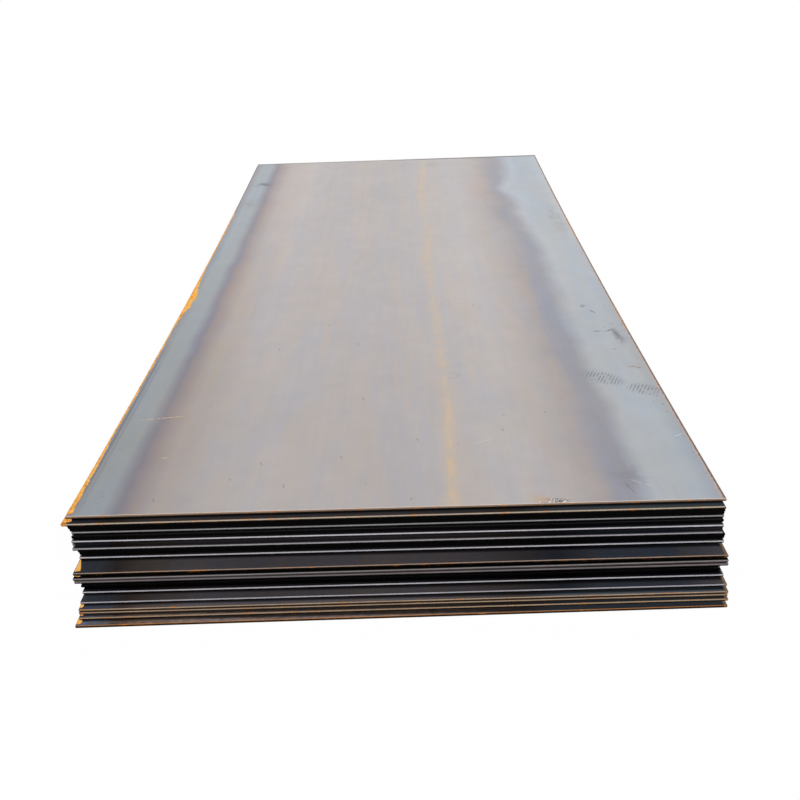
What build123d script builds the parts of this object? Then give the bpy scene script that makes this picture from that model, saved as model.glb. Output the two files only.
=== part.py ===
from build123d import *
import math
import os

# Hot-rolled steel plates lying in one stack, as they wait in a stockyard. Lengths are millimetres.
# X runs across the plates, Y along them towards the far end, and Z up. The origin is on the
# floor, at the middle of the stack's outline.

# One plate. All of them are alike.
plate_width = 1500.0
plate_length = 3000.0
plate_thickness = 8.0

# Its long edges are as rolled, and bulge out past the flat faces.
mill_edge_bulge = 1.5

# Its short ends are sheared. The blade draws the upper corner round, and below the cut the metal
# breaks away on a slope down to the lower corner.
roll_over_radius = 1.0
break_height = 5.0
break_slope = 0.5

# Loose scale keeps the faces of the plates apart. The lowest plates are pressed flat. Above them
# each plate keeps a little more of the curl of its coil, up to the raised ends of the top one.
scale_gap = 0.2
flat_plates = 6
end_lift = 25.0

# The most that a plate slips out towards the near end, out to one side, and at one near corner.
near_slip = 106.0
side_slip = 13.0
corner_slip = 6.5

# How each plate lies, as shares of those three slips, from the top of the stack down. Plates that
# slip back leave the dark gaps between the ends that show.
lie_shares = [
    (0.00, 0.00, 0.00),
    (0.15, -0.50, 0.00),
    (0.06, 0.00, 0.00),
    (0.03, 0.05, -0.10),
    (0.00, 0.10, -0.10),
    (-0.01, 0.20, -0.15),
    (0.03, 0.15, -0.15),
    (0.09, 0.10, -0.30),
    (0.07, 0.10, -0.20),
    (0.12, 0.05, -0.15),
    (0.08, 0.75, -0.10),
    (0.05, 0.80, -0.10),
    (0.10, 0.75, -0.10),
    (0.50, 0.60, 0.35),
    (0.56, 0.60, 0.45),
    (0.56, 0.65, 0.30),
    (0.22, 0.60, 0.30),
    (0.25, 0.50, 0.25),
    (0.28, 0.45, 0.25),
    (0.30, 0.45, 0.25),
    (0.41, 0.85, 0.25),
    (0.64, 0.95, 0.40),
    (0.78, 0.90, 0.45),
    (0.79, 0.85, 0.45),
    (0.86, 0.90, 0.65),
    (1.00, 0.55, 1.00),
]

# Places of the two ends in a list that runs from the near end to the far one
near_end, far_end = 0, -1

half_width = plate_width / 2
half_length = plate_length / 2
plate_count = len(lie_shares)
curled_plates = plate_count - flat_plates


def plate_section():
    """The section across the plate, resting on its underside at the middle."""
    half_flat = half_width - mill_edge_bulge
    half_thickness = plate_thickness / 2
    outline = [
        Line((half_flat, 0), (-half_flat, 0)),
        ThreePointArc((-half_flat, 0), (-half_width, half_thickness), (-half_flat, plate_thickness)),
        Line((-half_flat, plate_thickness), (half_flat, plate_thickness)),
        ThreePointArc((half_flat, plate_thickness), (half_width, half_thickness), (half_flat, 0)),
    ]
    return Plane.XZ * make_face(outline)


def flat_plate(slip):
    """A plate pressed flat, with its near end slipped out."""
    near_section = Pos(0, -half_length - slip, 0) * plate_section()
    return extrude(near_section, amount=plate_length, dir=(0, 1, 0))


def curled_plate(slip, lift):
    """A plate bent along an arc that is lowest at the middle of the stack."""
    curl_radius = half_length**2 / (2 * lift)
    bend_axis = Axis((0, 0, curl_radius), (1, 0, 0))
    start_angle = math.degrees((half_length + slip) / curl_radius)
    bend_angle = math.degrees(plate_length / curl_radius)
    near_section = plate_section().rotate(bend_axis, -start_angle)
    return revolve(near_section, axis=bend_axis, revolution_arc=bend_angle)


def cross_edges(plate, end):
    """The straight edges across one end, from the lowest up."""
    middle = plate.center().Y
    crossing = plate.edges().filter_by(Axis.X)
    at_end = crossing.filter_by(lambda edge: (edge.center().Y < middle) == (end == near_end))
    return at_end.sort_by(Axis.Z)


def shear_end(plate, end):
    """Slope the broken metal of one end and round the corner that the blade drew over."""
    end_face = plate.faces().sort_by(Axis.Y)[end]
    lower_edge = cross_edges(plate, end)[0]
    plate = chamfer(lower_edge, length=break_height, length2=break_slope, reference=end_face)
    upper_edge = cross_edges(plate, end)[-1]
    return fillet(upper_edge, radius=roll_over_radius)


def lay_plate(number, shares):
    """The plate with this number, counted from the top, where it lies in the stack."""
    near_share, side_share, corner_share = shares
    slip = near_slip * near_share
    lift = end_lift * (curled_plates - number) / curled_plates
    plate = curled_plate(slip, lift) if lift > 0 else flat_plate(slip)
    for end in (near_end, far_end):
        plate = shear_end(plate, end)
    height = (plate_count - 1 - number) * (plate_thickness + scale_gap)
    near_y = -half_length - slip
    turn = math.degrees(math.atan2(corner_slip * corner_share, half_width))
    return Pos(side_slip * side_share, near_y, height) * Rot(0, 0, turn) * Pos(0, -near_y, 0) * plate


def to_origin(plates):
    """The move that brings the middle of the stack's outline on the floor to the origin."""
    box = Compound(plates).bounding_box()
    return Pos(-box.center().X, -box.center().Y, -box.min.Z)


plates = [lay_plate(number, shares) for number, shares in enumerate(lie_shares)]
move = to_origin(plates)
os.makedirs("parts", exist_ok=True)
for number, plate in enumerate(plates):
    export_step(move * plate, f"parts/plate_{number + 1:02d}.step")
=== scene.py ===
import bmesh
import bpy
import math
import random
from mathutils import Matrix, Vector, noise
from mathutils.bvhtree import BVHTree


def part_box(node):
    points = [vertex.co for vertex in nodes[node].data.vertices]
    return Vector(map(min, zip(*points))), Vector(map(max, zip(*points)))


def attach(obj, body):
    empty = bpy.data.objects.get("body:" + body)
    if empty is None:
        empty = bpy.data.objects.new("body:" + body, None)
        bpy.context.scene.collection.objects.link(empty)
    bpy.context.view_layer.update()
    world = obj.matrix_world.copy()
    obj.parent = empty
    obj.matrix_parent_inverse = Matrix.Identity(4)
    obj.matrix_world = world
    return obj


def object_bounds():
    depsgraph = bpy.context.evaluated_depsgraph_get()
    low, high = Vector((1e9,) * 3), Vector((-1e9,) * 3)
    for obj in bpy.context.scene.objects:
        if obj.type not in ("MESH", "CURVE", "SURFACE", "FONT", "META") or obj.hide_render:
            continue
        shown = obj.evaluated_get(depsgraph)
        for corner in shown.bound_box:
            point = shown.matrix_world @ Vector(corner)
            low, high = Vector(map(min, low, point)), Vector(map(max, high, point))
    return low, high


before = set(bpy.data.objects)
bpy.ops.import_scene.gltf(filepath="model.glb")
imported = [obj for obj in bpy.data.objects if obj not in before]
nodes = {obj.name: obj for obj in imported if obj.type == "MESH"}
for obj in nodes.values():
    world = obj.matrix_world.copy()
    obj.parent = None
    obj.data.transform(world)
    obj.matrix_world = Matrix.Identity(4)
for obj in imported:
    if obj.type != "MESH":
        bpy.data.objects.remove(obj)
cad_low, cad_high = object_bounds()

# The dressed stack of hot-rolled plates, in metres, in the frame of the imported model: X across
# the plates, Y along them towards the far end, Z up. Plates are counted from the top. Places on
# a plate are given across from its middle line, to the right, and along from its near end.

plate_names = sorted(nodes)
top_plate = plate_names[0]
MM = 0.001
plate_thickness = 8 * MM

# Every plate, however it lies, has its flat face this far out from the middle of the stack
near_side = 0.715

# Rays that look for the skin of a plate start this far off
FAR_OFF = 1.0

# The photograph's camera, set from the near edge of the top plate
photo_size = 800
focal_pixels = 816.6
sensor_width = 36.0
camera_right_of_middle = 0.049
camera_before_edge = 1.459
camera_above_edge = 1.158
camera_pitch = math.radians(30.96)
camera_yaw = math.radians(1.00)
camera_roll = math.radians(-2.20)

# The light. The camera sees the sky as white, and the floor close to the stack nearly so.
sky_level = 0.40
floor_reach = 60.0
floor_seen_white = 0.97
sun_toward = (0.25, -0.55, 0.80)
sun_angle = 35.0
sun_strength = 2.35

# Colours are written as they look on a screen, from 0 to 255
SCREEN_WHITE = 255.0


def linear(red, green, blue):
    """A screen colour as the scene's own linear colour, by the sRGB rule."""
    def channel(value):
        share = value / SCREEN_WHITE
        return share / 12.92 if share <= 0.04045 else ((share + 0.055) / 1.055) ** 2.4
    return (channel(red), channel(green), channel(blue), 1.0)


# Tones of the mill scale, from its blue-grey borders to the warm grey middle
border_blue = linear(146, 155, 160)
border_dark = linear(126, 131, 139)
pale_blue = linear(170, 178, 184)
band_purple = linear(125, 122, 131)
band_lilac = linear(143, 146, 155)
band_brown = linear(146, 135, 132)
pale_brown = linear(160, 154, 153)
pink_grey = linear(172, 167, 165)
warm_grey = linear(167, 160, 156)
middle_grey = linear(175, 171, 170)
light_grey = linear(182, 178, 176)

# Where each tone lies across the faces of a plate
scale_zones = [
    (-0.748, border_dark),
    (-0.715, border_blue),
    (-0.670, border_blue),
    (-0.635, band_purple),
    (-0.610, band_brown),
    (-0.560, warm_grey),
    (-0.440, middle_grey),
    (0.000, middle_grey),
    (0.300, light_grey),
    (0.420, pink_grey),
    (0.490, pale_brown),
    (0.530, band_lilac),
    (0.555, band_lilac),
    (0.610, pale_blue),
    (0.748, pale_blue),
]

# How far the right-hand bands of the top plate wander to the left, along the plate
band_wander = [(0.0, 0.015), (0.3, 0.0), (0.9, 0.02), (1.5, 0.0), (1.85, 0.0), (2.1, 0.04),
               (2.3, 0.03), (2.45, 0.07), (2.6, 0.03), (3.0, 0.02)]

# Rust, from fresh powder to old crust
rust_powder = linear(236, 196, 136)
rust_bright = linear(252, 178, 70)
rust_orange = linear(205, 128, 48)
rust_brown = linear(128, 82, 48)
rust_tan = linear(132, 106, 78)
rust_dark = linear(66, 43, 28)
old_border = linear(100, 76, 62)

# Tones of the lower plates' faces, where only a strip in front shows. They are dark mill scale with
# the shade of the plates above painted in, and lighter at both ends with painted light that falls
# in from the sides.
strip_blue = linear(44, 49, 57)
strip_umber = linear(42, 37, 35)
strip_brown = linear(56, 51, 47)
strip_grey = linear(60, 58, 61)
strip_light = linear(66, 64, 66)
strip_tawny = linear(50, 47, 45)
strip_dark = linear(31, 33, 39)
strip_pale_blue = linear(74, 82, 90)

strip_zones = [
    (-0.748, strip_light),
    (-0.725, strip_blue),
    (-0.680, strip_blue),
    (-0.635, strip_umber),
    (-0.590, strip_brown),
    (-0.470, strip_light),
    (-0.300, strip_grey),
    (-0.020, strip_light),
    (0.170, strip_grey),
    (0.280, strip_tawny),
    (0.380, strip_dark),
    (0.470, strip_blue),
    (0.640, strip_blue),
    (0.748, strip_light),
]

# The bands of a sheared end, from its rounded rim down: rim, cut metal, broken metal, and how
# high the cut metal starts above the lower corner. The light cut metal is bright steel with painted
# reflection; the near-black broken metal is partly the painted shadow of the gap under the plate.
# The pale rim of the top plate's end is a painted highlight on its rounded edge
pale_end = (linear(204, 190, 180), linear(160, 131, 108), linear(22, 17, 14), 2.6 * MM)
tan_end = (linear(92, 80, 68), linear(176, 160, 142), linear(22, 17, 14), 3.4 * MM)
dim_end = (linear(46, 44, 46), linear(146, 142, 145), linear(14, 13, 12), 3.2 * MM)
bright_end = (linear(52, 50, 54), linear(190, 187, 194), linear(14, 13, 14), 3.2 * MM)
grey_end = (linear(50, 48, 50), linear(162, 158, 162), linear(14, 13, 12), 3.2 * MM)
clear_end = (linear(54, 52, 54), linear(212, 208, 216), linear(12, 12, 12), 3.2 * MM)
thin_end = (linear(162, 143, 128), linear(140, 120, 104), linear(12, 10, 9), 5.2 * MM)
rough_end = (linear(44, 42, 42), linear(132, 127, 128), linear(62, 58, 57), 3.8 * MM)
dull_end = (linear(70, 64, 63), linear(112, 105, 107), linear(16, 14, 14), 2.8 * MM)
brown_end = (linear(96, 80, 64), linear(176, 154, 132), linear(50, 40, 32), 4.0 * MM)
stained_end = (linear(96, 78, 60), linear(186, 158, 130), linear(20, 16, 13), 3.4 * MM)
rusty_end = (linear(190, 124, 60), linear(92, 60, 36), linear(36, 22, 14), 5.2 * MM)
# The ends deep in the recesses: dark scale, painted near black as the shade of the recess
shaded_dark_end = (linear(16, 16, 17), linear(12, 12, 13), linear(9, 9, 9), 2.0 * MM)
far_end = (linear(118, 112, 110), linear(172, 165, 162), linear(78, 66, 56), 3.0 * MM)
end_looks = {
    "plate_01": pale_end,
    "plate_02": tan_end,
    "plate_06": dim_end,
    "plate_08": bright_end,
    "plate_10": grey_end,
    "plate_13": clear_end,
    "plate_14": thin_end,
    "plate_15": rough_end,
    "plate_16": dull_end,
    "plate_21": clear_end,
    "plate_22": bright_end,
    "plate_23": brown_end,
    "plate_24": brown_end,
    "plate_25": stained_end,
    "plate_26": rusty_end,
}

# How light the faces of some lower plates are beside the others. The lowest gains paint the deep
# shade of a recess over the face.
strip_gains = {
    "plate_02": 0.5,
    "plate_09": 2.8,
    "plate_10": 2.2,
    "plate_15": 0.2,
    "plate_21": 0.3,
    "plate_23": 1.7,
    "plate_24": 1.6,
    "plate_25": 3.0,
    "plate_26": 3.6,
}

# Faces that are browner and more speckled, and those that are pale blue on the right, with how
# light the blue is
brown_strips = {"plate_24", "plate_25", "plate_26"}
blue_right = {"plate_02": 0.45, "plate_23": 1.1, "plate_25": 1.6, "plate_26": 2.4}

# Plates with a rusty right border, and plates with bits of rust on their near end
right_rust = {"plate_14", "plate_22", "plate_23", "plate_24", "plate_25", "plate_26"}
rust_bits = {"plate_01", "plate_02", "plate_14", "plate_23", "plate_24", "plate_25", "plate_26"}

# The plate whose near end has the tone of its face
end_like_face = "plate_09"

# How far the rust reaches over a plate's face from the corner that is near and on the left
corner_rust = {
    "plate_02": 22 * MM,
    "plate_14": 14 * MM,
    "plate_15": 16 * MM,
    "plate_23": 9 * MM,
    "plate_24": 8 * MM,
    "plate_25": 9 * MM,
    "plate_26": 13 * MM,
}

# How much the faces shine: the open one, those that show as a strip, and those deep in the stack
open_gloss = 0.5
strip_gloss = 0.03
deep_gloss = 0.0

# The roughness of a face and of an end, and how metallic and how much smoother cut metal is
face_roughness = 0.43
end_roughness = 0.72
cut_metal = 0.2
metal_polish = 0.45


class Web:
    """The node web of one material. Each method adds a node and returns its output."""

    def __init__(self, name):
        self.material = bpy.data.materials.new(name)
        self.material.use_nodes = True
        self.tree = self.material.node_tree
        self.shader = self.tree.nodes["Principled BSDF"]

    def node(self, kind, **settings):
        made = self.tree.nodes.new(kind)
        for key, value in settings.items():
            setattr(made, key, value)
        return made

    def plug(self, socket, value):
        """Link a socket to an output, or set it to a plain value."""
        if isinstance(value, bpy.types.NodeSocket):
            self.tree.links.new(value, socket)
        elif socket.type == "VECTOR":
            socket.default_value = value[:3]
        else:
            socket.default_value = value

    def fill(self, made, values):
        for socket, value in zip(made.inputs, values):
            self.plug(socket, value)
        return made.outputs[0]

    def math(self, operation, first, second=0.0):
        return self.fill(self.node("ShaderNodeMath", operation=operation), (first, second))

    def add(self, first, second):
        return self.math("ADD", first, second)

    def less(self, first, second):
        return self.math("SUBTRACT", first, second)

    def times(self, first, second):
        return self.math("MULTIPLY", first, second)

    def over(self, first, second):
        return self.math("DIVIDE", first, second)

    def most(self, first, second):
        return self.math("MAXIMUM", first, second)

    def size(self, value):
        return self.math("ABSOLUTE", value)

    def beyond(self, value, limit):
        """1 where the value is over the limit, else 0."""
        return self.math("GREATER_THAN", value, limit)

    def ramp(self, value, low, high, start=0.0, end=1.0):
        """A smooth step from start to end as the value goes from low to high."""
        made = self.node("ShaderNodeMapRange", interpolation_type="SMOOTHSTEP")
        return self.fill(made, (value, low, high, start, end))

    def inside(self, value, low, high, soft):
        """1 between two limits, fading to 0 past them."""
        rise = self.ramp(value, low - soft, low + soft)
        return self.times(rise, self.ramp(value, high - soft, high + soft, 1.0, 0.0))

    def vector(self, x, y, z=0.0):
        return self.fill(self.node("ShaderNodeCombineXYZ"), (x, y, z))

    def apart(self, vector):
        made = self.node("ShaderNodeSeparateXYZ")
        self.plug(made.inputs[0], vector)
        return made.outputs

    def vectors(self, operation, first, second, result="Vector"):
        made = self.node("ShaderNodeVectorMath", operation=operation)
        self.plug(made.inputs[0], first)
        self.plug(made.inputs[1], second)
        return made.outputs[result]

    def noise(self, place, scale, detail=3.0, roughness=0.5):
        """Noise round a half."""
        made = self.node("ShaderNodeTexNoise", noise_dimensions="3D")
        self.plug(made.inputs["Vector"], place)
        self.plug(made.inputs["Scale"], scale)
        self.plug(made.inputs["Detail"], detail)
        self.plug(made.inputs["Roughness"], roughness)
        return made.outputs["Fac"]

    def about(self, value, amount):
        """A factor round one, that far up or down as the value goes round a half."""
        return self.add(self.times(self.less(value, 0.5), 2.0 * amount), 1.0)

    def colours(self, value, stops):
        """A colour that runs through (position, colour) stops."""
        made = self.node("ShaderNodeValToRGB")
        elements = made.color_ramp.elements
        while len(elements) < len(stops):
            elements.new(1.0)
        for element, (position, colour) in zip(elements, stops):
            element.position = position
            element.color = colour
        self.plug(made.inputs["Fac"], value)
        return made.outputs["Color"]

    def levels(self, value, stops, most):
        """A number up to a given most that runs through (position, number) stops."""
        greys = [(position, (level / most,) * 3 + (1.0,)) for position, level in stops]
        return self.times(self.colours(value, greys), most)

    def blend(self, share, under, over, mode="MIX"):
        made = self.node("ShaderNodeMix", data_type="RGBA", blend_type=mode)
        self.plug(made.inputs["Factor"], share)
        self.plug(made.inputs[6], under)
        self.plug(made.inputs[7], over)
        return made.outputs[2]

    def shade(self, colour, factor):
        """The colour made lighter or darker by a factor round one."""
        made = self.node("ShaderNodeVectorMath", operation="SCALE")
        self.plug(made.inputs[0], colour)
        self.plug(made.inputs["Scale"], factor)
        return made.outputs[0]

    def bump(self, height, strength, distance):
        made = self.node("ShaderNodeBump")
        self.plug(made.inputs["Height"], height)
        self.plug(made.inputs["Strength"], strength)
        self.plug(made.inputs["Distance"], distance)
        self.plug(self.shader.inputs["Normal"], made.outputs[0])


class PlateWeb(Web):
    """A web that knows where a plate's faces, ends and edges are."""

    def __init__(self, name):
        super().__init__("scale_" + name)
        low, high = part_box(name)
        self.width = high.x - low.x
        self.length = high.y - low.y
        coordinates = self.node("ShaderNodeTexCoord")
        x, y, z = self.apart(coordinates.outputs["Object"])
        self.across = self.less(x, (low.x + high.x) / 2)
        self.along = self.less(y, low.y)
        self.height = z
        self.place = self.vector(self.across, self.along, z)
        self.flat = self.vector(self.across, self.along)
        _, ahead, upward = self.apart(coordinates.outputs["Normal"])
        self.is_face = self.ramp(self.size(upward), 0.55, 0.9)
        self.is_end = self.ramp(self.size(ahead), 0.5, 0.85)
        self.is_rim = self.inside(upward, 0.25, 0.9, 0.08)

    def above_end(self, name):
        """Height above the lower corner of the end that is near."""
        near, far = end_bottoms(name)
        at_far = self.beyond(self.along, self.length / 2)
        bottom = self.add(self.times(at_far, far - near), near)
        return self.less(self.height, bottom)

    def spot(self, x, y, half_width, half_length, soft=0.5):
        """An oval from 1 in its middle to 0 at its rim."""
        offset = self.vectors("SUBTRACT", self.flat, (x, y, 0.0))
        scaled = self.vectors("DIVIDE", offset, (half_width, half_length, 1.0))
        reach = self.vectors("LENGTH", scaled, (0.0, 0.0, 0.0), "Value")
        return self.ramp(reach, 1.0 - soft, 1.0, 1.0, 0.0)

    def stroke(self, x, y, half_width, half_length, turn):
        """A thin oval, turned clockwise from the length of the plate by degrees."""
        angle = math.radians(turn)
        offset = self.vectors("SUBTRACT", self.flat, (x, y, 0.0))
        along = (math.sin(angle) / half_length, math.cos(angle) / half_length, 0.0)
        across = (math.cos(angle) / half_width, -math.sin(angle) / half_width, 0.0)
        u = self.vectors("DOT_PRODUCT", offset, along, "Value")
        v = self.vectors("DOT_PRODUCT", offset, across, "Value")
        reach = self.vectors("LENGTH", self.vector(u, v), (0.0, 0.0, 0.0), "Value")
        return self.ramp(reach, 0.4, 1.0, 1.0, 0.0)

    def ticks(self, places, half_width, half_length, turn):
        """Like strokes that share one size and slant, at many places."""
        slant = math.radians(turn)
        x, y, _ = self.apart(self.flat)
        u = (math.sin(slant) / half_length, math.cos(slant) / half_length)
        v = (math.cos(slant) / half_width, -math.sin(slant) / half_width)
        turned = self.vector(
            self.add(self.times(x, u[0]), self.times(y, u[1])),
            self.add(self.times(x, v[0]), self.times(y, v[1])))
        nearest = None
        for place_x, place_y in places:
            target = (place_x * u[0] + place_y * u[1], place_x * v[0] + place_y * v[1], 0.0)
            reach = self.vectors("DISTANCE", turned, target, "Value")
            nearest = reach if nearest is None else self.math("MINIMUM", nearest, reach)
        return self.ramp(nearest, 0.4, 1.0, 1.0, 0.0)

    def any_of(self, masks):
        joined = masks[0]
        for mask in masks[1:]:
            joined = self.most(joined, mask)
        return joined


def end_bottoms(name):
    """The lowest points of a plate's near and far end."""
    low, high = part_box(name)
    reach = 20 * MM
    spots = [vertex.co for vertex in nodes[name].data.vertices]
    near = min(spot.z for spot in spots if spot.y < low.y + reach)
    far = min(spot.z for spot in spots if spot.y > high.y - reach)
    return near, far


def scale_colour(web, zones, across, seed):
    """Mill scale over a whole face: zones across the plate, streaks along it, soft patches."""
    stops = [(at / web.width + 0.5, colour) for at, colour in zones]
    colour = web.colours(web.add(web.over(across, web.width), 0.5), stops)
    shift = web.vectors("ADD", web.flat, (seed, 2.0 * seed, 0.0))
    x, y, _ = web.apart(shift)
    tint = web.noise(web.vector(web.times(x, 9.0), web.times(y, 1.3)), 1.0, 3.0)
    warm = web.blend(web.ramp(tint, 0.38, 0.62), linear(183, 184, 198), linear(204, 188, 176))
    colour = web.blend(0.38, colour, warm, "SOFT_LIGHT")
    streaky = web.noise(web.vector(web.times(x, 38.0), web.times(y, 5.0)), 1.0, 4.0, 0.6)
    hue = web.blend(web.ramp(streaky, 0.40, 0.60), linear(178, 180, 202), linear(208, 189, 172))
    colour = web.blend(0.2, colour, hue, "SOFT_LIGHT")
    fine = web.noise(web.vector(web.times(x, 110.0), web.times(y, 2.2)), 1.0, 4.0, 0.65)
    broad = web.noise(web.vector(web.times(x, 24.0), web.times(y, 0.5)), 1.0, 3.0, 0.6)
    patches = web.noise(shift, 3.5, 5.0, 0.6)
    clouds = web.noise(shift, 14.0, 4.0, 0.6)
    colour = web.shade(colour, web.about(fine, 0.035))
    colour = web.shade(colour, web.about(broad, 0.04))
    colour = web.shade(colour, web.about(patches, 0.08))
    return web.shade(colour, web.about(clouds, 0.05))


def end_bands(web, above, line, look):
    """The bands of one sheared end, and where its cut metal is."""
    rim, upper, lower, cut_start = look
    cut = web.ramp(line, cut_start - 0.5 * MM, cut_start + 0.7 * MM)
    rounded = web.ramp(above, 6.6 * MM, 7.4 * MM)
    return web.blend(rounded, web.blend(cut, lower, upper), rim), cut


def end_colour(web, name, seed):
    """The sheared ends, with rust in patches. The far ends are alike but for their shade."""
    above = web.above_end(name)
    wander = web.noise(web.vector(web.times(web.across, 60.0), seed), 1.0, 4.0, 0.7)
    line = web.add(web.times(web.less(wander, 0.5), 1.6 * MM), above)
    near_colour, near_cut = end_bands(web, above, line, end_looks.get(name, shaded_dark_end))
    far_colour, far_cut = end_bands(web, above, line, far_end)
    raised = web.times(above, 90.0)
    bits = web.noise(web.vector(web.times(web.across, 34.0), seed, raised), 1.0, 5.0, 0.7)
    if name in rust_bits:
        shown = web.times(web.ramp(bits, 0.54, 0.66), web.add(web.times(near_cut, 0.65), 0.1))
        near_colour = web.blend(shown, near_colour, rust_orange)
    far_colour = web.blend(web.times(web.ramp(bits, 0.48, 0.62), 0.7), far_colour, rust_brown)
    far_colour = web.shade(far_colour, 0.6 + 0.1 * (plate_names.index(name) % 6))
    at_far = web.beyond(web.along, web.length / 2)
    colour = web.blend(at_far, near_colour, far_colour)
    teeth = web.noise(web.vector(web.times(web.across, 700.0), seed, raised), 1.0)
    colour = web.shade(colour, web.about(teeth, 0.3))
    long_marks = web.noise(web.vector(web.times(web.across, 7.0), seed), 1.0, 4.0, 0.6)
    cut = web.add(near_cut, web.times(at_far, web.less(far_cut, near_cut)))
    return web.shade(colour, web.about(long_marks, 0.3)), cut


def edge_colour(web, seed, rustiness):
    """The rolled long edge: dark scale with rust that has spread along it."""
    _, y, z = web.apart(web.place)
    wide = web.noise(web.vector(seed, web.times(y, 3.0), web.times(z, 60.0)), 1.0, 5.0, 0.65)
    grain = web.noise(web.place, 700.0, 3.0, 0.6)
    rust = web.colours(grain, [(0.3, rust_dark), (0.5, rust_brown), (0.7, rust_orange)])
    scale = web.shade(linear(104, 103, 106), web.about(grain, 0.3))
    share = web.ramp(wide, 0.62 - rustiness, 0.74 - rustiness)
    return web.blend(share, scale, rust)


def ragged_edge_band(web, side, reach):
    """1 on the border of a plate along one long edge, with a ragged inner line."""
    stretched = web.vector(web.times(web.across, 90.0), web.times(web.along, 60.0))
    ragged = web.noise(stretched, 1.0, 4.0, 0.7)
    from_edge = web.less(web.width / 2, web.times(web.across, side))
    ragged_band = web.add(from_edge, web.times(web.less(ragged, 0.5), 1.4 * reach))
    return web.ramp(ragged_band, 0.6 * reach, reach, 1.0, 0.0)


def rust_tones(web):
    """Powdery rust, orange over brown."""
    grain = web.noise(web.place, 260.0, 4.0, 0.65)
    return web.colours(grain, [(0.32, rust_brown), (0.5, rust_orange), (0.66, rust_bright)])


def face_gloss(name):
    """The open face shines. The plates below are dull, and deep in the stack they are black."""
    if name == top_plate:
        return open_gloss
    return strip_gloss if name in end_looks else deep_gloss


def surface(web, name, cut):
    """Set a plate's roughness, gloss and fine relief."""
    pits = web.noise(web.place, 240.0, 5.0, 0.6)
    rough_face = web.add(web.times(web.less(pits, 0.5), 0.14), face_roughness)
    metal = web.times(web.times(web.is_end, cut), cut_metal)
    rough_end = web.add(web.times(metal, -metal_polish), end_roughness)
    web.plug(web.shader.inputs["Roughness"], web.blend(web.is_face, rough_end, rough_face))
    web.plug(web.shader.inputs["Metallic"], metal)
    web.plug(web.shader.inputs["Specular IOR Level"], face_gloss(name))
    stretched = web.vector(web.times(web.across, 40.0), web.times(web.along, 5.0))
    ripple = web.noise(stretched, 1.0, 4.0)
    web.bump(web.add(pits, web.times(ripple, 0.6)), 0.12, 0.4 * MM)


def plate_finish(web, name, colour, seed):
    """Put a face colour together with the plate's ends and edges, and set its surface."""
    ends, cut = end_colour(web, name, seed)
    if name == end_like_face:
        ends = web.blend(web.beyond(web.along, web.length / 2), colour, ends)
    sides = edge_colour(web, seed, 0.16 if name in corner_rust else 0.08)
    rust = rust_tones(web)
    if name in corner_rust:
        border = ragged_edge_band(web, -1.0, 0.7 * corner_rust[name])
        colour = web.blend(border, colour, rust)
        ends = web.blend(web.times(border, 0.9), ends, rust)
    if name in right_rust:
        border = web.times(ragged_edge_band(web, 1.0, 10 * MM), 0.7)
        colour = web.blend(border, colour, rust_tan)
        ends = web.blend(border, ends, rust_tan)
    under = web.blend(web.is_end, sides, ends)
    colour = web.blend(web.is_face, under, colour)
    web.plug(web.shader.inputs["Base Color"], colour)
    surface(web, name, cut)
    return web.material


# Marks on the top plate: small ticks and dots, at (across, along)
dark_ticks = [
    (-0.150, 1.565), (-0.365, 0.835), (-0.117, 0.858), (-0.088, 0.505), (-0.330, 0.195),
    (-0.132, 0.212), (-0.335, 2.490), (0.108, 2.025), (0.282, 0.322), (-0.220, 1.002),
    (-0.560, 0.052), (-0.262, 0.095), (0.060, 0.285),
]
dark_dots = [
    (-0.395, 0.128), (0.405, 0.405), (0.293, 0.395), (0.231, 2.690), (0.226, 2.668),
    (0.727, 0.390), (0.727, 0.430), (0.723, 0.475), (0.676, 0.925), (0.040, 0.030),
]

# Strokes on it, as (across, along, half width, half length, turn)
side_strokes = [
    (0.640, 1.100, 0.010, 0.018, 30), (0.665, 1.050, 0.006, 0.022, -35),
    (0.690, 0.905, 0.006, 0.030, 60), (0.703, 0.885, 0.008, 0.035, -12),
    (0.650, 0.900, 0.006, 0.022, 80), (0.738, 0.945, 0.004, 0.020, 15),
    (0.545, 0.050, 0.003, 0.030, -18),
]
tan_scratches = [(-0.635, 0.431, 0.0024, 0.085, 83), (-0.578, 0.233, 0.0020, 0.014, 86)]
pale_strokes = [
    (0.225, 0.268, 0.002, 0.034, 68), (0.722, 0.272, 0.003, 0.022, 62),
    (0.565, 0.075, 0.002, 0.020, -55), (0.590, 0.060, 0.002, 0.012, -60),
]
tread_patches = [(0.600, 0.590, 0.044, 0.085, -51), (0.697, 0.516, 0.040, 0.060, -63)]

# Smears and faint rings on it, at (across, along)
brown_smears = [
    (0.680, 0.770), (0.718, 0.645), (0.697, 0.652), (0.744, 0.518), (0.683, 2.045), (0.692, 2.110),
]
rings = [(0.175, 1.150), (0.170, 0.630), (0.285, 1.130)]
ring_radius = 16 * MM

# Ovals of dirt on it that noise breaks up, and whole stains, as (across, along, half width, half
# length, softness, strength, tone)
smudge_ovals = [
    (-0.668, 2.640, 0.065, 0.045, 0.8, 0.85, linear(96, 99, 96)),
    (-0.690, 2.345, 0.045, 0.060, 0.9, 0.50, linear(126, 120, 112)),
    (0.055, 2.900, 0.080, 0.050, 0.9, 0.35, linear(140, 140, 142)),
    (0.195, 2.880, 0.055, 0.070, 0.9, 0.35, linear(140, 140, 142)),
    (0.708, 0.870, 0.026, 0.110, 0.9, 0.75, linear(116, 114, 122)),
    (0.556, 0.100, 0.062, 0.085, 0.9, 0.50, linear(124, 118, 124)),
    (0.700, 1.980, 0.045, 0.280, 0.7, 0.45, linear(150, 146, 144)),
]
stain_ovals = [
    (-0.560, 0.850, 0.060, 0.140, 0.9, 0.40, linear(170, 156, 134)),
    (0.410, 2.500, 0.090, 0.160, 0.9, 0.40, linear(186, 165, 162)),
]

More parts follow.
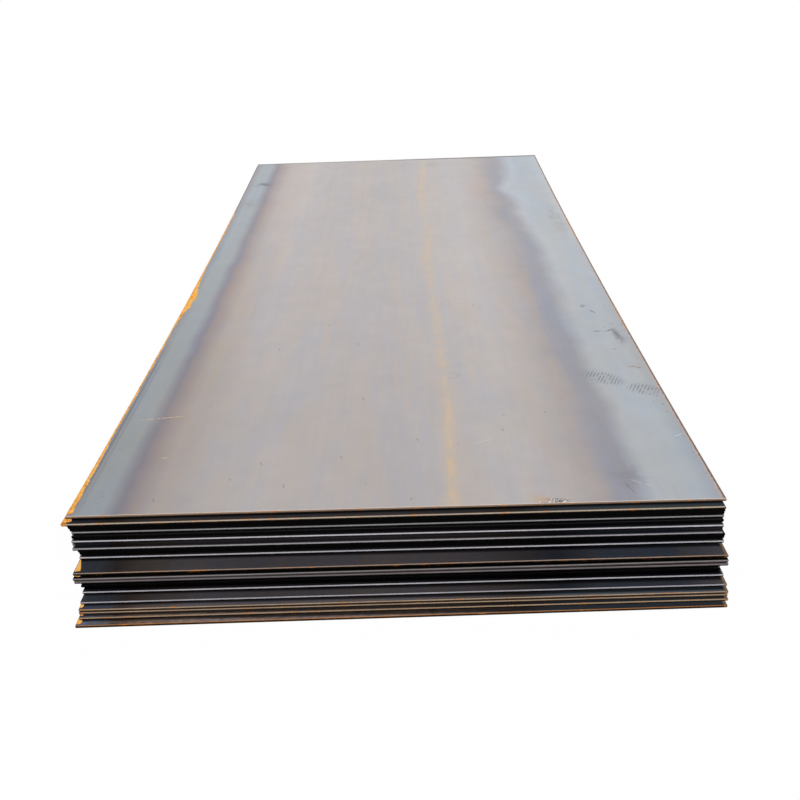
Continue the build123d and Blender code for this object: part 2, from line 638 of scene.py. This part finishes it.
# The tan streak: its middle line and its strength, along the plate
streak_line = [
    (0.00, 0.135), (0.20, 0.137), (0.45, 0.147), (0.80, 0.142), (1.05, 0.135), (1.30, 0.130),
    (1.65, 0.122), (1.90, 0.140), (2.30, 0.118), (2.50, 0.120), (2.90, 0.137),
]
streak_strength = [
    (0.00, 0.9), (0.20, 0.9), (0.50, 0.8), (0.90, 0.6), (1.60, 0.8), (1.90, 0.5),
    (2.05, 0.1), (2.20, 0.5), (2.50, 0.9), (2.75, 0.7), (2.95, 0.2),
]


def run_along(web, stops, most):
    """A number up to a given most that changes along the plate, through (along, number) stops."""
    shares = [(at / web.length, value) for at, value in stops]
    return web.levels(web.over(web.along, web.length), shares, most)


def strokes(web, marks):
    return web.any_of([web.stroke(*mark) for mark in marks])


def tan_streak(web, colour):
    """A narrow rust-stained line with a soft tan border, running the length of the plate."""
    line = run_along(web, streak_line, 0.2)
    strength = run_along(web, streak_strength, 1.0)
    waver = web.noise(web.vector(0.0, web.times(web.along, 9.0)), 1.0, 4.0)
    line = web.add(line, web.times(web.less(waver, 0.5), 10 * MM))
    away = web.size(web.less(web.across, line))
    stretched = web.vector(web.times(web.across, 50.0), web.times(web.along, 16.0))
    ragged = web.noise(stretched, 1.0, 4.0)
    core = web.times(web.ramp(away, 2 * MM, 13 * MM, 1.0, 0.0), web.ramp(ragged, 0.35, 0.65))
    veil = web.ramp(away, 6 * MM, 34 * MM, 1.0, 0.0)
    patchy = web.ramp(web.noise(web.flat, 12.0, 4.0, 0.6), 0.25, 0.6)
    veil = web.times(veil, patchy)
    colour = web.blend(web.times(web.times(veil, strength), 0.6), colour, linear(196, 176, 150))
    return web.blend(web.times(web.times(core, strength), 0.5), colour, linear(214, 180, 132))


def smudges(web, colour):
    """Soft dirty places and stains."""
    broken = web.ramp(web.noise(web.flat, 26.0, 4.0, 0.65), 0.35, 0.6)
    for *oval, strength, tone in smudge_ovals:
        dirt = web.times(web.spot(*oval), broken)
        colour = web.blend(web.times(dirt, strength), colour, tone)
    for *oval, strength, tone in stain_ovals:
        colour = web.blend(web.times(web.spot(*oval), strength), colour, tone)
    return colour


def front_specks(web, colour):
    """Dark and pale specks of torn scale at one place on the near edge."""
    x, y, _ = web.apart(web.flat)
    slanted = web.vector(web.times(web.less(x, web.times(y, 0.6)), 420.0), web.times(y, 90.0))
    specks = web.noise(slanted, 1.0, 2.0, 0.5)
    place = web.spot(0.364, 0.007, 0.042, 0.013, 0.4)
    dark = web.times(web.ramp(specks, 0.5, 0.56), place)
    colour = web.blend(dark, colour, linear(62, 52, 46))
    pale = web.times(web.ramp(specks, 0.44, 0.38), place)
    colour = web.blend(pale, colour, linear(236, 232, 228))
    stain = web.times(web.spot(0.336, 0.016, 0.034, 0.022, 0.8), 0.55)
    return web.blend(stain, colour, linear(190, 158, 128))


def foot_marks(web, colour):
    """Short slanting bars, as the sole of a boot leaves them."""
    x, y, _ = web.apart(web.flat)
    wave = web.math("SINE", web.times(web.less(x, web.times(y, 0.5)), 600.0))
    breaks = web.ramp(web.noise(web.flat, 55.0, 3.0), 0.38, 0.52)
    bars = web.times(web.ramp(wave, 0.0, 0.8), breaks)
    patch = strokes(web, tread_patches)
    colour = web.blend(web.times(patch, 0.22), colour, linear(138, 144, 150))
    return web.blend(web.times(web.times(bars, patch), 0.75), colour, linear(92, 97, 104))


def faint_rings(web, colour):
    """Rings that something round left, mostly worn off."""
    hoops = []
    for x, y in rings:
        reach = web.vectors("DISTANCE", web.flat, (x, y, 0.0), "Value")
        from_ring = web.size(web.less(reach, ring_radius))
        hoops.append(web.ramp(from_ring, 1 * MM, 7 * MM, 1.0, 0.0))
    broken = web.ramp(web.noise(web.flat, 60.0, 3.0), 0.4, 0.6)
    shown = web.times(web.times(web.any_of(hoops), broken), 0.35)
    return web.blend(shown, colour, linear(140, 140, 140))


def small_marks(web, colour):
    """Ticks, dots, strokes, smears and scratches."""
    ticks = web.ticks(dark_ticks, 2.6 * MM, 11 * MM, -18)
    dots = web.ticks(dark_dots, 3 * MM, 6 * MM, 15)
    colour = web.blend(web.times(web.most(ticks, dots), 0.5), colour, linear(96, 92, 92))
    smear = web.ramp(web.noise(web.flat, 90.0, 4.0), 0.35, 0.6)
    side_marks = web.times(web.times(strokes(web, side_strokes), smear), 0.85)
    colour = web.blend(side_marks, colour, linear(96, 98, 102))
    brown = web.times(web.ticks(brown_smears, 7 * MM, 17 * MM, 78), smear)
    colour = web.blend(web.times(brown, 0.75), colour, linear(146, 112, 88))
    scratched = web.times(strokes(web, tan_scratches), web.ramp(smear, 0.1, 0.5))
    colour = web.blend(web.times(scratched, 0.85), colour, linear(216, 186, 136))
    return web.blend(web.times(strokes(web, pale_strokes), 0.4), colour, linear(222, 216, 206))


def wandering_across(web):
    """Across the top plate, as the bands of its scale wander."""
    stretched = web.vector(web.times(web.across, 7.0), web.times(web.along, 3.0))
    uneven = web.times(web.less(web.noise(stretched, 1.0, 4.0, 0.55), 0.5), 80 * MM)
    wander = web.add(run_along(web, band_wander, 0.1), uneven)
    on_right = web.ramp(web.across, 0.25, 0.5)
    drift = web.noise(web.vector(0.0, web.times(web.along, 5.0)), 1.0, 3.0)
    wobble = web.times(web.less(drift, 0.5), 30 * MM)
    return web.add(web.add(web.across, web.times(wander, on_right)), wobble)


def paint_far_sheen(web, across, colour):
    """Painted sheen: the plate is painted darker near and lighter towards the far end, as grazing
    light makes it, over the whole plate, its left part, right edge and right band.
    """
    colour = web.shade(colour, web.ramp(web.along, 0.0, 1.6, 0.94, 1.0))
    left = web.ramp(web.across, -0.60, -0.28, 1.0, 0.0)
    right_edge = web.ramp(web.across, 0.69, 0.74)
    right_band = web.inside(across, 0.53, 0.62, 0.04)
    changes = [
        (left, web.ramp(web.along, 0.0, 2.6, -0.10, 0.13)),
        (right_edge, web.ramp(web.along, 0.0, 2.6, -0.16, 0.08)),
        (right_band, web.ramp(web.along, 0.8, 2.3, 0.0, 0.09)),
    ]
    for where, change in changes:
        colour = web.shade(colour, web.add(web.times(where, change), 1.0))
    return colour


def rubbed_lines(web, colour):
    """Two dark lines that something rubbed in beside the left edge."""
    from_left = web.add(web.across, web.width / 2)
    outer = web.inside(from_left, 12 * MM, 16 * MM, 3 * MM)
    inner = web.times(web.inside(from_left, 25 * MM, 27 * MM, 3 * MM), 0.6)
    lines = web.times(web.most(outer, inner), web.inside(web.along, 0.06, 0.85, 0.12))
    return web.blend(web.times(lines, 0.75), colour, linear(84, 82, 88))


def top_borders(web, colour):
    """The rusty long borders of the top plate, its dark far border, and its pale rims: a painted
    highlight on the rounded edges, partly worn bright metal.
    """
    on_far_half = web.inside(web.along, 2.25, 2.96, 0.03)
    left_tone = web.blend(on_far_half, rust_tones(web), old_border)
    colour = web.blend(ragged_edge_band(web, -1.0, 5 * MM), colour, left_tone)
    halo = web.times(ragged_edge_band(web, 1.0, 14 * MM), 0.5)
    colour = web.blend(halo, colour, linear(196, 160, 136))
    colour = web.blend(web.times(ragged_edge_band(web, 1.0, 8 * MM), 0.95), colour, old_border)
    at_far = web.ramp(web.along, 2.978, 2.986)
    at_far = web.times(at_far, web.ramp(web.across, -0.1, 0.2, 0.35, 0.9))
    colour = web.blend(at_far, colour, linear(96, 88, 84))
    # Painted highlight on the rounded rims
    return web.blend(web.is_rim, colour, linear(205, 198, 200))


def top_plate_material(name):
    """The top plate, with all that lies on its open face."""
    web = PlateWeb(name)
    across = wandering_across(web)
    colour = scale_colour(web, scale_zones, across, 0.0)
    # Painted sheen: darker near, lighter towards the far end
    colour = paint_far_sheen(web, across, colour)
    marks = (tan_streak, smudges, foot_marks, faint_rings, front_specks, small_marks)
    for add_marks in marks + (rubbed_lines, top_borders):
        colour = add_marks(web, colour)
    return plate_finish(web, name, colour, 0.0)


def covered_line(name, above):
    """How far in from its near end a plate is covered by the one above it, at its two sides."""
    ends = []
    for side in (-1, 1):
        front = near_corner(plate_tree(name), name, side)
        ends.append(near_corner(plate_tree(above), above, side) - front)
    return ends


def paint_shadow_under_next(web, name, above, colour):
    """Painted shadow: the face is painted black where the plate above covers it, on the near half.
    """
    left, right = covered_line(name, above)
    from_left = web.over(web.add(web.across, web.width / 2), web.width)
    covered = web.add(web.times(from_left, right - left), left)
    shade = web.ramp(web.less(covered, web.along), 0.5 * MM, 9 * MM, 0.12, 1.0)
    at_near = web.ramp(web.along, 0.5, 1.0, 1.0, 0.0)
    return web.shade(colour, web.add(web.times(web.less(shade, 1.0), at_near), 1.0))


def lower_plate_material(name, number):
    """A plate of which little shows: its face is darker, and painted black as shadow under the next
    one.
    """
    web = PlateWeb(name)
    seed = 0.37 * number
    colour = scale_colour(web, strip_zones, web.add(web.across, 0.004 * (number % 5)), seed)
    colour = web.shade(colour, strip_gains.get(name, 1.0))
    speckled = web.vector(web.times(web.across, 62.0), web.times(web.along, 130.0), seed)
    mottle = web.noise(speckled, 1.0, 4.0, 0.75)
    colour = web.shade(colour, web.about(mottle, 1.1 if name in brown_strips else 0.25))
    if name in blue_right:
        bluish = web.shade(strip_pale_blue, blue_right[name])
        colour = web.blend(web.ramp(web.across, 0.26, 0.40), colour, bluish)
    if name in brown_strips:
        browned = web.inside(web.across, -0.66, 0.25, 0.1)
        colour = web.blend(browned, colour, linear(255, 240, 222), "MULTIPLY")
    # Painted shadow of the plate above, black on the face it covers
    colour = paint_shadow_under_next(web, name, plate_names[number - 1], colour)
    # Painted light: pale borders at both long edges, where light falls in from the sides, laid over
    # the painted shadow
    if name not in corner_rust:
        ragged_band = web.most(ragged_edge_band(web, -1.0, 6 * MM), ragged_edge_band(web, 1.0, 6 * MM))
        colour = web.blend(web.times(ragged_band, 0.6), colour, linear(128, 122, 114))
    return plate_finish(web, name, colour, seed)


def rust_material(name, brightness):
    """Crusts of rust that stand proud of the steel."""
    web = Web(name)
    coordinates = web.node("ShaderNodeTexCoord")
    place = coordinates.outputs["Object"]
    grain = web.noise(place, 150.0, 5.0, 0.8)
    broad = web.noise(place, 22.0, 4.0, 0.6)
    mixed = web.add(web.times(grain, 0.75), web.times(broad, 0.25))
    stops = [(0.34, rust_brown), (0.42, rust_orange), (0.50, rust_bright), (0.62, rust_powder)]
    web.plug(web.shader.inputs["Base Color"], web.shade(web.colours(mixed, stops), brightness))
    web.plug(web.shader.inputs["Roughness"], 0.92)
    web.plug(web.shader.inputs["Specular IOR Level"], 0.2)
    web.bump(grain, 0.5, 0.6 * MM)
    return web.material


def flake_material():
    """Loose chips of mill scale, some with their pale undersides up."""
    web = Web("loose_scale")
    coordinates = web.node("ShaderNodeTexCoord")
    tone = web.noise(coordinates.outputs["Object"], 35.0, 2.0)
    stops = [
        (0.35, linear(96, 100, 108)),
        (0.50, linear(140, 132, 128)),
        (0.62, linear(196, 190, 182)),
    ]
    web.plug(web.shader.inputs["Base Color"], web.colours(tone, stops))
    web.plug(web.shader.inputs["Roughness"], 0.55)
    return web.material


def dress(name, material):
    """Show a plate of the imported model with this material."""
    for slot in nodes[name].material_slots:
        slot.material = material


# A crust of rust: how far apart its rows of points are, how many steps a row has over the face,
# how far down the edge its other points lie, and how deep it sits in the steel
row_spacing = 3 * MM
face_steps = 6
edge_shares = (0.12, 0.3, 0.5, 0.7, 0.88)
crust_depth = 0.4 * MM
crust_thickness = 0.7 * MM
thin_crust = 0.6 * MM

# From where to where along a plate the crusts on the left reach, and those on the right edge
left_span = (4 * MM, 2.25)
corner_span = (4 * MM, 0.10)
right_spans = {"near": (0.90, 1.20), "far": (1.76, 2.12)}

# Loose flakes of scale, in all and in three groups
flake_seed = 11
scattered_flakes = 150
border_flakes = 70
front_flakes = 16


def plate_tree(name):
    """The plate's mesh, ready to find points on its skin."""
    mesh = nodes[name].data
    polygons = [tuple(polygon.vertices) for polygon in mesh.polygons]
    return BVHTree.FromPolygons([vertex.co.copy() for vertex in mesh.vertices], polygons)


def add_piece(name, vertices, faces, material, smooth=True):
    """A new mesh that rides on the stack."""
    mesh = bpy.data.meshes.new(name)
    mesh.from_pydata(vertices, [], faces)
    solid = bmesh.new()
    solid.from_mesh(mesh)
    bmesh.ops.recalc_face_normals(solid, faces=solid.faces)
    solid.to_mesh(mesh)
    solid.free()
    mesh.materials.append(material)
    mesh.polygons.foreach_set("use_smooth", [smooth] * len(mesh.polygons))
    piece = bpy.data.objects.new(name, mesh)
    bpy.context.scene.collection.objects.link(piece)
    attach(piece, "root")


def pull(value, scale, seed):
    """Smooth noise along one line, from -1 to 1."""
    return noise.noise(Vector((value * scale, seed, 0.5 * seed)))


def skin(tree, start, way):
    """Where a line first meets the plate."""
    return tree.ray_cast(Vector(start), Vector(way))[0]


def near_corner(tree, name, side):
    """How far along Y the near end lies at one side of a plate, which may lie askew."""
    low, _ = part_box(name)
    near, _ = end_bottoms(name)
    start = (side * near_side, low.y - FAR_OFF, near + plate_thickness / 2)
    return skin(tree, start, (0, 1, 0)).y


def edge_section(tree, side, y, reach):
    """Points on a plate's skin, and the way out of it, from its face round its long edge."""
    top = skin(tree, (side * near_side, y, FAR_OFF), (0, 0, -1)).z
    outside = skin(tree, (side, y, top - plate_thickness / 2), (-side, 0, 0)).x
    points = []
    for step in range(face_steps + 1):
        inward = reach * (1 - step / face_steps) + 1.6 * MM
        points.append((Vector((outside - side * inward, y, top)), Vector((0, 0, 1))))
    for share in edge_shares:
        place = skin(tree, (side, y, top - share * plate_thickness), (-side, 0, 0))
        points.append((place, Vector((side, 0, (0.5 - share) * 1.5)).normalized()))
    return points


def crust_row(section, thickness, fade, patchy):
    """Two points for each place on the skin: one on the crust, and one just under the skin."""
    row = []
    for number, (point, outward) in enumerate(section):
        border = min(number, len(section) - 1 - number, 2) / 2
        lumps = 0.6 + 0.7 * noise.noise(point * 170.0) + 0.5 * noise.noise(point * 420.0)
        lowest = -0.4 if patchy else 0.08 - 0.48 * (1 - fade)
        rise = thickness * border * max(lumps - patchy - 1.4 * (1 - fade), lowest)
        raised = point + outward * rise
        raised.z = min(raised.z, cad_high.z)
        row += [raised, point - outward * crust_depth]
    return row


def crust_faces(rows, ring):
    """The faces between rows of points: over the crust, under it, along its rims, at its ends."""
    faces = []
    for start in range(0, rows * ring, ring):
        for a in range(start, start + ring - 2, 2):
            b = a + ring
            faces.append((a, a + 2, b + 2, b))
            faces.append((a + 1, b + 1, b + 3, a + 3))
        last = start + ring - 2
        faces.append((start, start + ring, start + ring + 1, start + 1))
        faces.append((last, last + 1, last + ring + 1, last + ring))
    for a in range(0, ring - 2, 2):
        faces.append((a, a + 1, a + 3, a + 2))
    for a in range(rows * ring, rows * ring + ring - 2, 2):
        faces.append((a + 2, a + 3, a + 1, a))
    return faces


def edge_crust(name, plate, side, span, reach_at, thickness, material, tail=20, patchy=0.0):
    """A crust of rust that wraps a plate's long edge, with a ragged border on its face.

    It sinks under the plate's skin where it thins out: at its start, over its tail of rows, and
    here and there along it as far as it is patchy.
    """
    tree = plate_tree(plate)
    corner = near_corner(tree, plate, side)
    start, end = span
    rows = int((end - start) / row_spacing)
    vertices = []
    for row in range(rows + 1):
        along = start + (end - start) * row / rows
        fade = min(1.0, row / 1.5, (rows - row) / tail)
        ragged = 1 + 0.35 * pull(along, 30.0, side) + 0.25 * pull(along, 110.0, 2.0)
        reach = max(reach_at(along) * ragged, 1 * MM) * (0.3 + 0.7 * fade)
        section = edge_section(tree, side, corner + along, reach)
        vertices += crust_row(section, thickness, fade, patchy)
    faces = crust_faces(rows, 2 * len(section))
    add_piece(name, vertices, faces, material)


def left_reach(along):
    """How far the rust spreads from the left edge of the top plate."""
    near = 7 * MM * max(0.0, 1 - along / 0.35)
    patch = 19 * MM * math.exp(-((along - 1.24) / 0.11) ** 2)
    beside = 5 * MM * math.exp(-((along - 1.39) / 0.10) ** 2)
    return 3.5 * MM + near + patch + beside


def right_reach(along):
    """The thin rust on the right edge spreads evenly."""
    return 2.5 * MM


def corner_reach(plate):
    """How far the rust spreads from the left edge of a lower plate, close to its near corner."""
    return lambda along: corner_rust[plate] * max(0.1, 1 - along / 0.055)


def flake(source, place, radius):
    """One thin chip of scale: an uneven polygon with a top, a bottom and sides."""
    corners = source.randint(5, 8)
    thick = source.uniform(0.25, 0.5) * MM
    tilt_x = source.uniform(-0.08, 0.08)
    tilt_y = source.uniform(-0.08, 0.08)
    lower, upper = [], []
    for corner in range(corners):
        angle = 2 * math.pi * (corner + source.uniform(-0.3, 0.3)) / corners
        out = radius * source.uniform(0.55, 1.0)
        x, y = 0.7 * out * math.cos(angle), out * math.sin(angle)
        point = place + Vector((x, y, abs(x * tilt_x + y * tilt_y)))
        lower.append(point)
        upper.append(point + Vector((0, 0, thick)))
    faces = [tuple(range(corners - 1, -1, -1)), tuple(range(corners, 2 * corners))]
    for corner in range(corners):
        after = (corner + 1) % corners
        faces.append((corner, after, corners + after, corners + corner))
    return lower + upper, faces


def flake_spots(source, half):
    """Where the flakes lie, across and along, and their radius in millimetres."""
    spots = []
    for _ in range(scattered_flakes):
        across = source.uniform(-half, half) * 0.985
        spots.append((across, source.uniform(0.02, 2.97), source.uniform(0.8, 2.4)))
    for _ in range(border_flakes):
        side = source.choice((-1, 1))
        inward = abs(source.gauss(0.0, 0.03)) + 8 * MM
        along = source.uniform(0.02, 2.97)
        spots.append((side * (half - inward), along, source.uniform(1.0, 3.2)))
    for _ in range(front_flakes):
        across = source.uniform(0.325, 0.39)
        spots.append((across, source.uniform(0.004, 0.016), source.uniform(1.5, 4.5)))
    return spots


def loose_flakes(material):
    """Chips of scale that lie on the top plate, most of them near its edges."""
    source = random.Random(flake_seed)
    tree = plate_tree(top_plate)
    low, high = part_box(top_plate)
    middle = (low.x + high.x) / 2
    vertices, faces = [], []
    for across, along, radius in flake_spots(source, (high.x - low.x) / 2):
        over = (middle + across, low.y + along, high.z + FAR_OFF)
        place = skin(tree, over, (0, 0, -1))
        if place is None:
            continue
        place.z += 0.02 * MM
        chip, chip_faces = flake(source, place, radius * MM)
        if max(corner.z for corner in chip) > cad_high.z:
            continue
        start = len(vertices)
        vertices += chip
        faces += [tuple(index + start for index in face) for face in chip_faces]
    add_piece("loose_scale_flakes", vertices, faces, material, False)


def make_camera():
    """The photograph's camera, over the near edge of the top plate."""
    low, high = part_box(top_plate)
    forward = Vector((
        -math.sin(camera_yaw) * math.cos(camera_pitch),
        math.cos(camera_yaw) * math.cos(camera_pitch),
        -math.sin(camera_pitch),
    ))
    level_right = Vector((math.cos(camera_yaw), math.sin(camera_yaw), 0.0))
    level_up = level_right.cross(forward)
    right = math.cos(camera_roll) * level_right + math.sin(camera_roll) * level_up
    up = -math.sin(camera_roll) * level_right + math.cos(camera_roll) * level_up
    place = Vector((
        (low.x + high.x) / 2 + camera_right_of_middle,
        low.y - camera_before_edge,
        high.z + camera_above_edge,
    ))
    lens = bpy.data.cameras.new("camera")
    lens.sensor_width = sensor_width
    lens.lens = focal_pixels / photo_size * sensor_width
    camera = bpy.data.objects.new("camera", lens)
    turn = Matrix((right, up, -forward)).transposed().to_4x4()
    camera.matrix_world = Matrix.Translation(place) @ turn
    bpy.context.scene.collection.objects.link(camera)
    bpy.context.scene.camera = camera


def make_world(level):
    """An even sky. The camera and reflections see it plain white."""
    world = bpy.data.worlds.new("sky")
    world.use_nodes = True
    bpy.context.scene.world = world
    tree = world.node_tree
    background = tree.nodes["Background"]
    background.inputs["Color"].default_value = (1.0, 1.0, 1.0, 1.0)
    path = tree.nodes.new("ShaderNodeLightPath")
    camera_or_glossy = tree.nodes.new("ShaderNodeMath")
    camera_or_glossy.operation = "MAXIMUM"
    tree.links.new(path.outputs["Is Camera Ray"], camera_or_glossy.inputs[0])
    tree.links.new(path.outputs["Is Glossy Ray"], camera_or_glossy.inputs[1])
    strength = tree.nodes.new("ShaderNodeMapRange")
    strength.inputs["To Min"].default_value = level
    strength.inputs["To Max"].default_value = 1.0
    tree.links.new(camera_or_glossy.outputs[0], strength.inputs["Value"])
    tree.links.new(strength.outputs[0], background.inputs["Strength"])


def make_floor(size, seen_white):
    """A pale floor under the stack. The camera sees it as white, with a faint shadow."""
    corners = [(-size, -size, 0.0), (size, -size, 0.0), (size, size, 0.0), (-size, size, 0.0)]
    mesh = bpy.data.meshes.new("floor")
    mesh.from_pydata(corners, [], [(0, 1, 2, 3)])
    floor = bpy.data.objects.new("floor", mesh)
    bpy.context.scene.collection.objects.link(floor)
    web = Web("floor")
    web.plug(web.shader.inputs["Base Color"], (0.92, 0.92, 0.92, 1.0))
    web.plug(web.shader.inputs["Roughness"], 1.0)
    web.plug(web.shader.inputs["Specular IOR Level"], 0.0)
    glow = web.node("ShaderNodeEmission")
    path = web.node("ShaderNodeLightPath")
    mix = web.node("ShaderNodeMixShader")
    seen = web.most(path.outputs["Is Camera Ray"], path.outputs["Is Glossy Ray"])
    coordinates = web.node("ShaderNodeTexCoord")
    reach = web.vectors("LENGTH", coordinates.outputs["Object"], (0.0, 0.0, 0.0), "Value")
    white = web.ramp(reach, 2.0, 4.0, seen_white, 1.0)
    web.plug(mix.inputs[0], web.times(seen, white))
    web.plug(mix.inputs[1], web.shader.outputs[0])
    web.plug(mix.inputs[2], glow.outputs[0])
    output = web.tree.nodes["Material Output"]
    web.plug(output.inputs["Surface"], mix.outputs[0])
    mesh.materials.append(web.material)


def make_sun(toward, angle, strength):
    """A broad soft light from far away, so that it is even over the whole stack."""
    lamp = bpy.data.lights.new("sun", "SUN")
    lamp.angle = math.radians(angle)
    lamp.energy = strength
    holder = bpy.data.objects.new("sun", lamp)
    holder.rotation_euler = (-Vector(toward)).to_track_quat("-Z", "Y").to_euler()
    bpy.context.scene.collection.objects.link(holder)


make_camera()
make_world(sky_level)
make_floor(floor_reach, floor_seen_white)
make_sun(sun_toward, sun_angle, sun_strength)

dress(top_plate, top_plate_material(top_plate))
for number, name in enumerate(plate_names[1:], 1):
    dress(name, lower_plate_material(name, number))

crust = rust_material("rust_crust", 1.0)
old_crust = rust_material("old_rust_crust", 0.6)
edge_crust("left_edge_rust", top_plate, -1, left_span, left_reach, crust_thickness, crust)
for part, span in right_spans.items():
    name = "right_edge_rust_" + part
    edge_crust(name, top_plate, 1, span, right_reach, thin_crust, old_crust, tail=30, patchy=0.3)
for plate in sorted(corner_rust):
    name = "corner_rust_" + plate[-2:]
    edge_crust(name, plate, -1, corner_span, corner_reach(plate), thin_crust, crust)
loose_flakes(flake_material())

bpy.context.scene.view_settings.view_transform = "Standard"
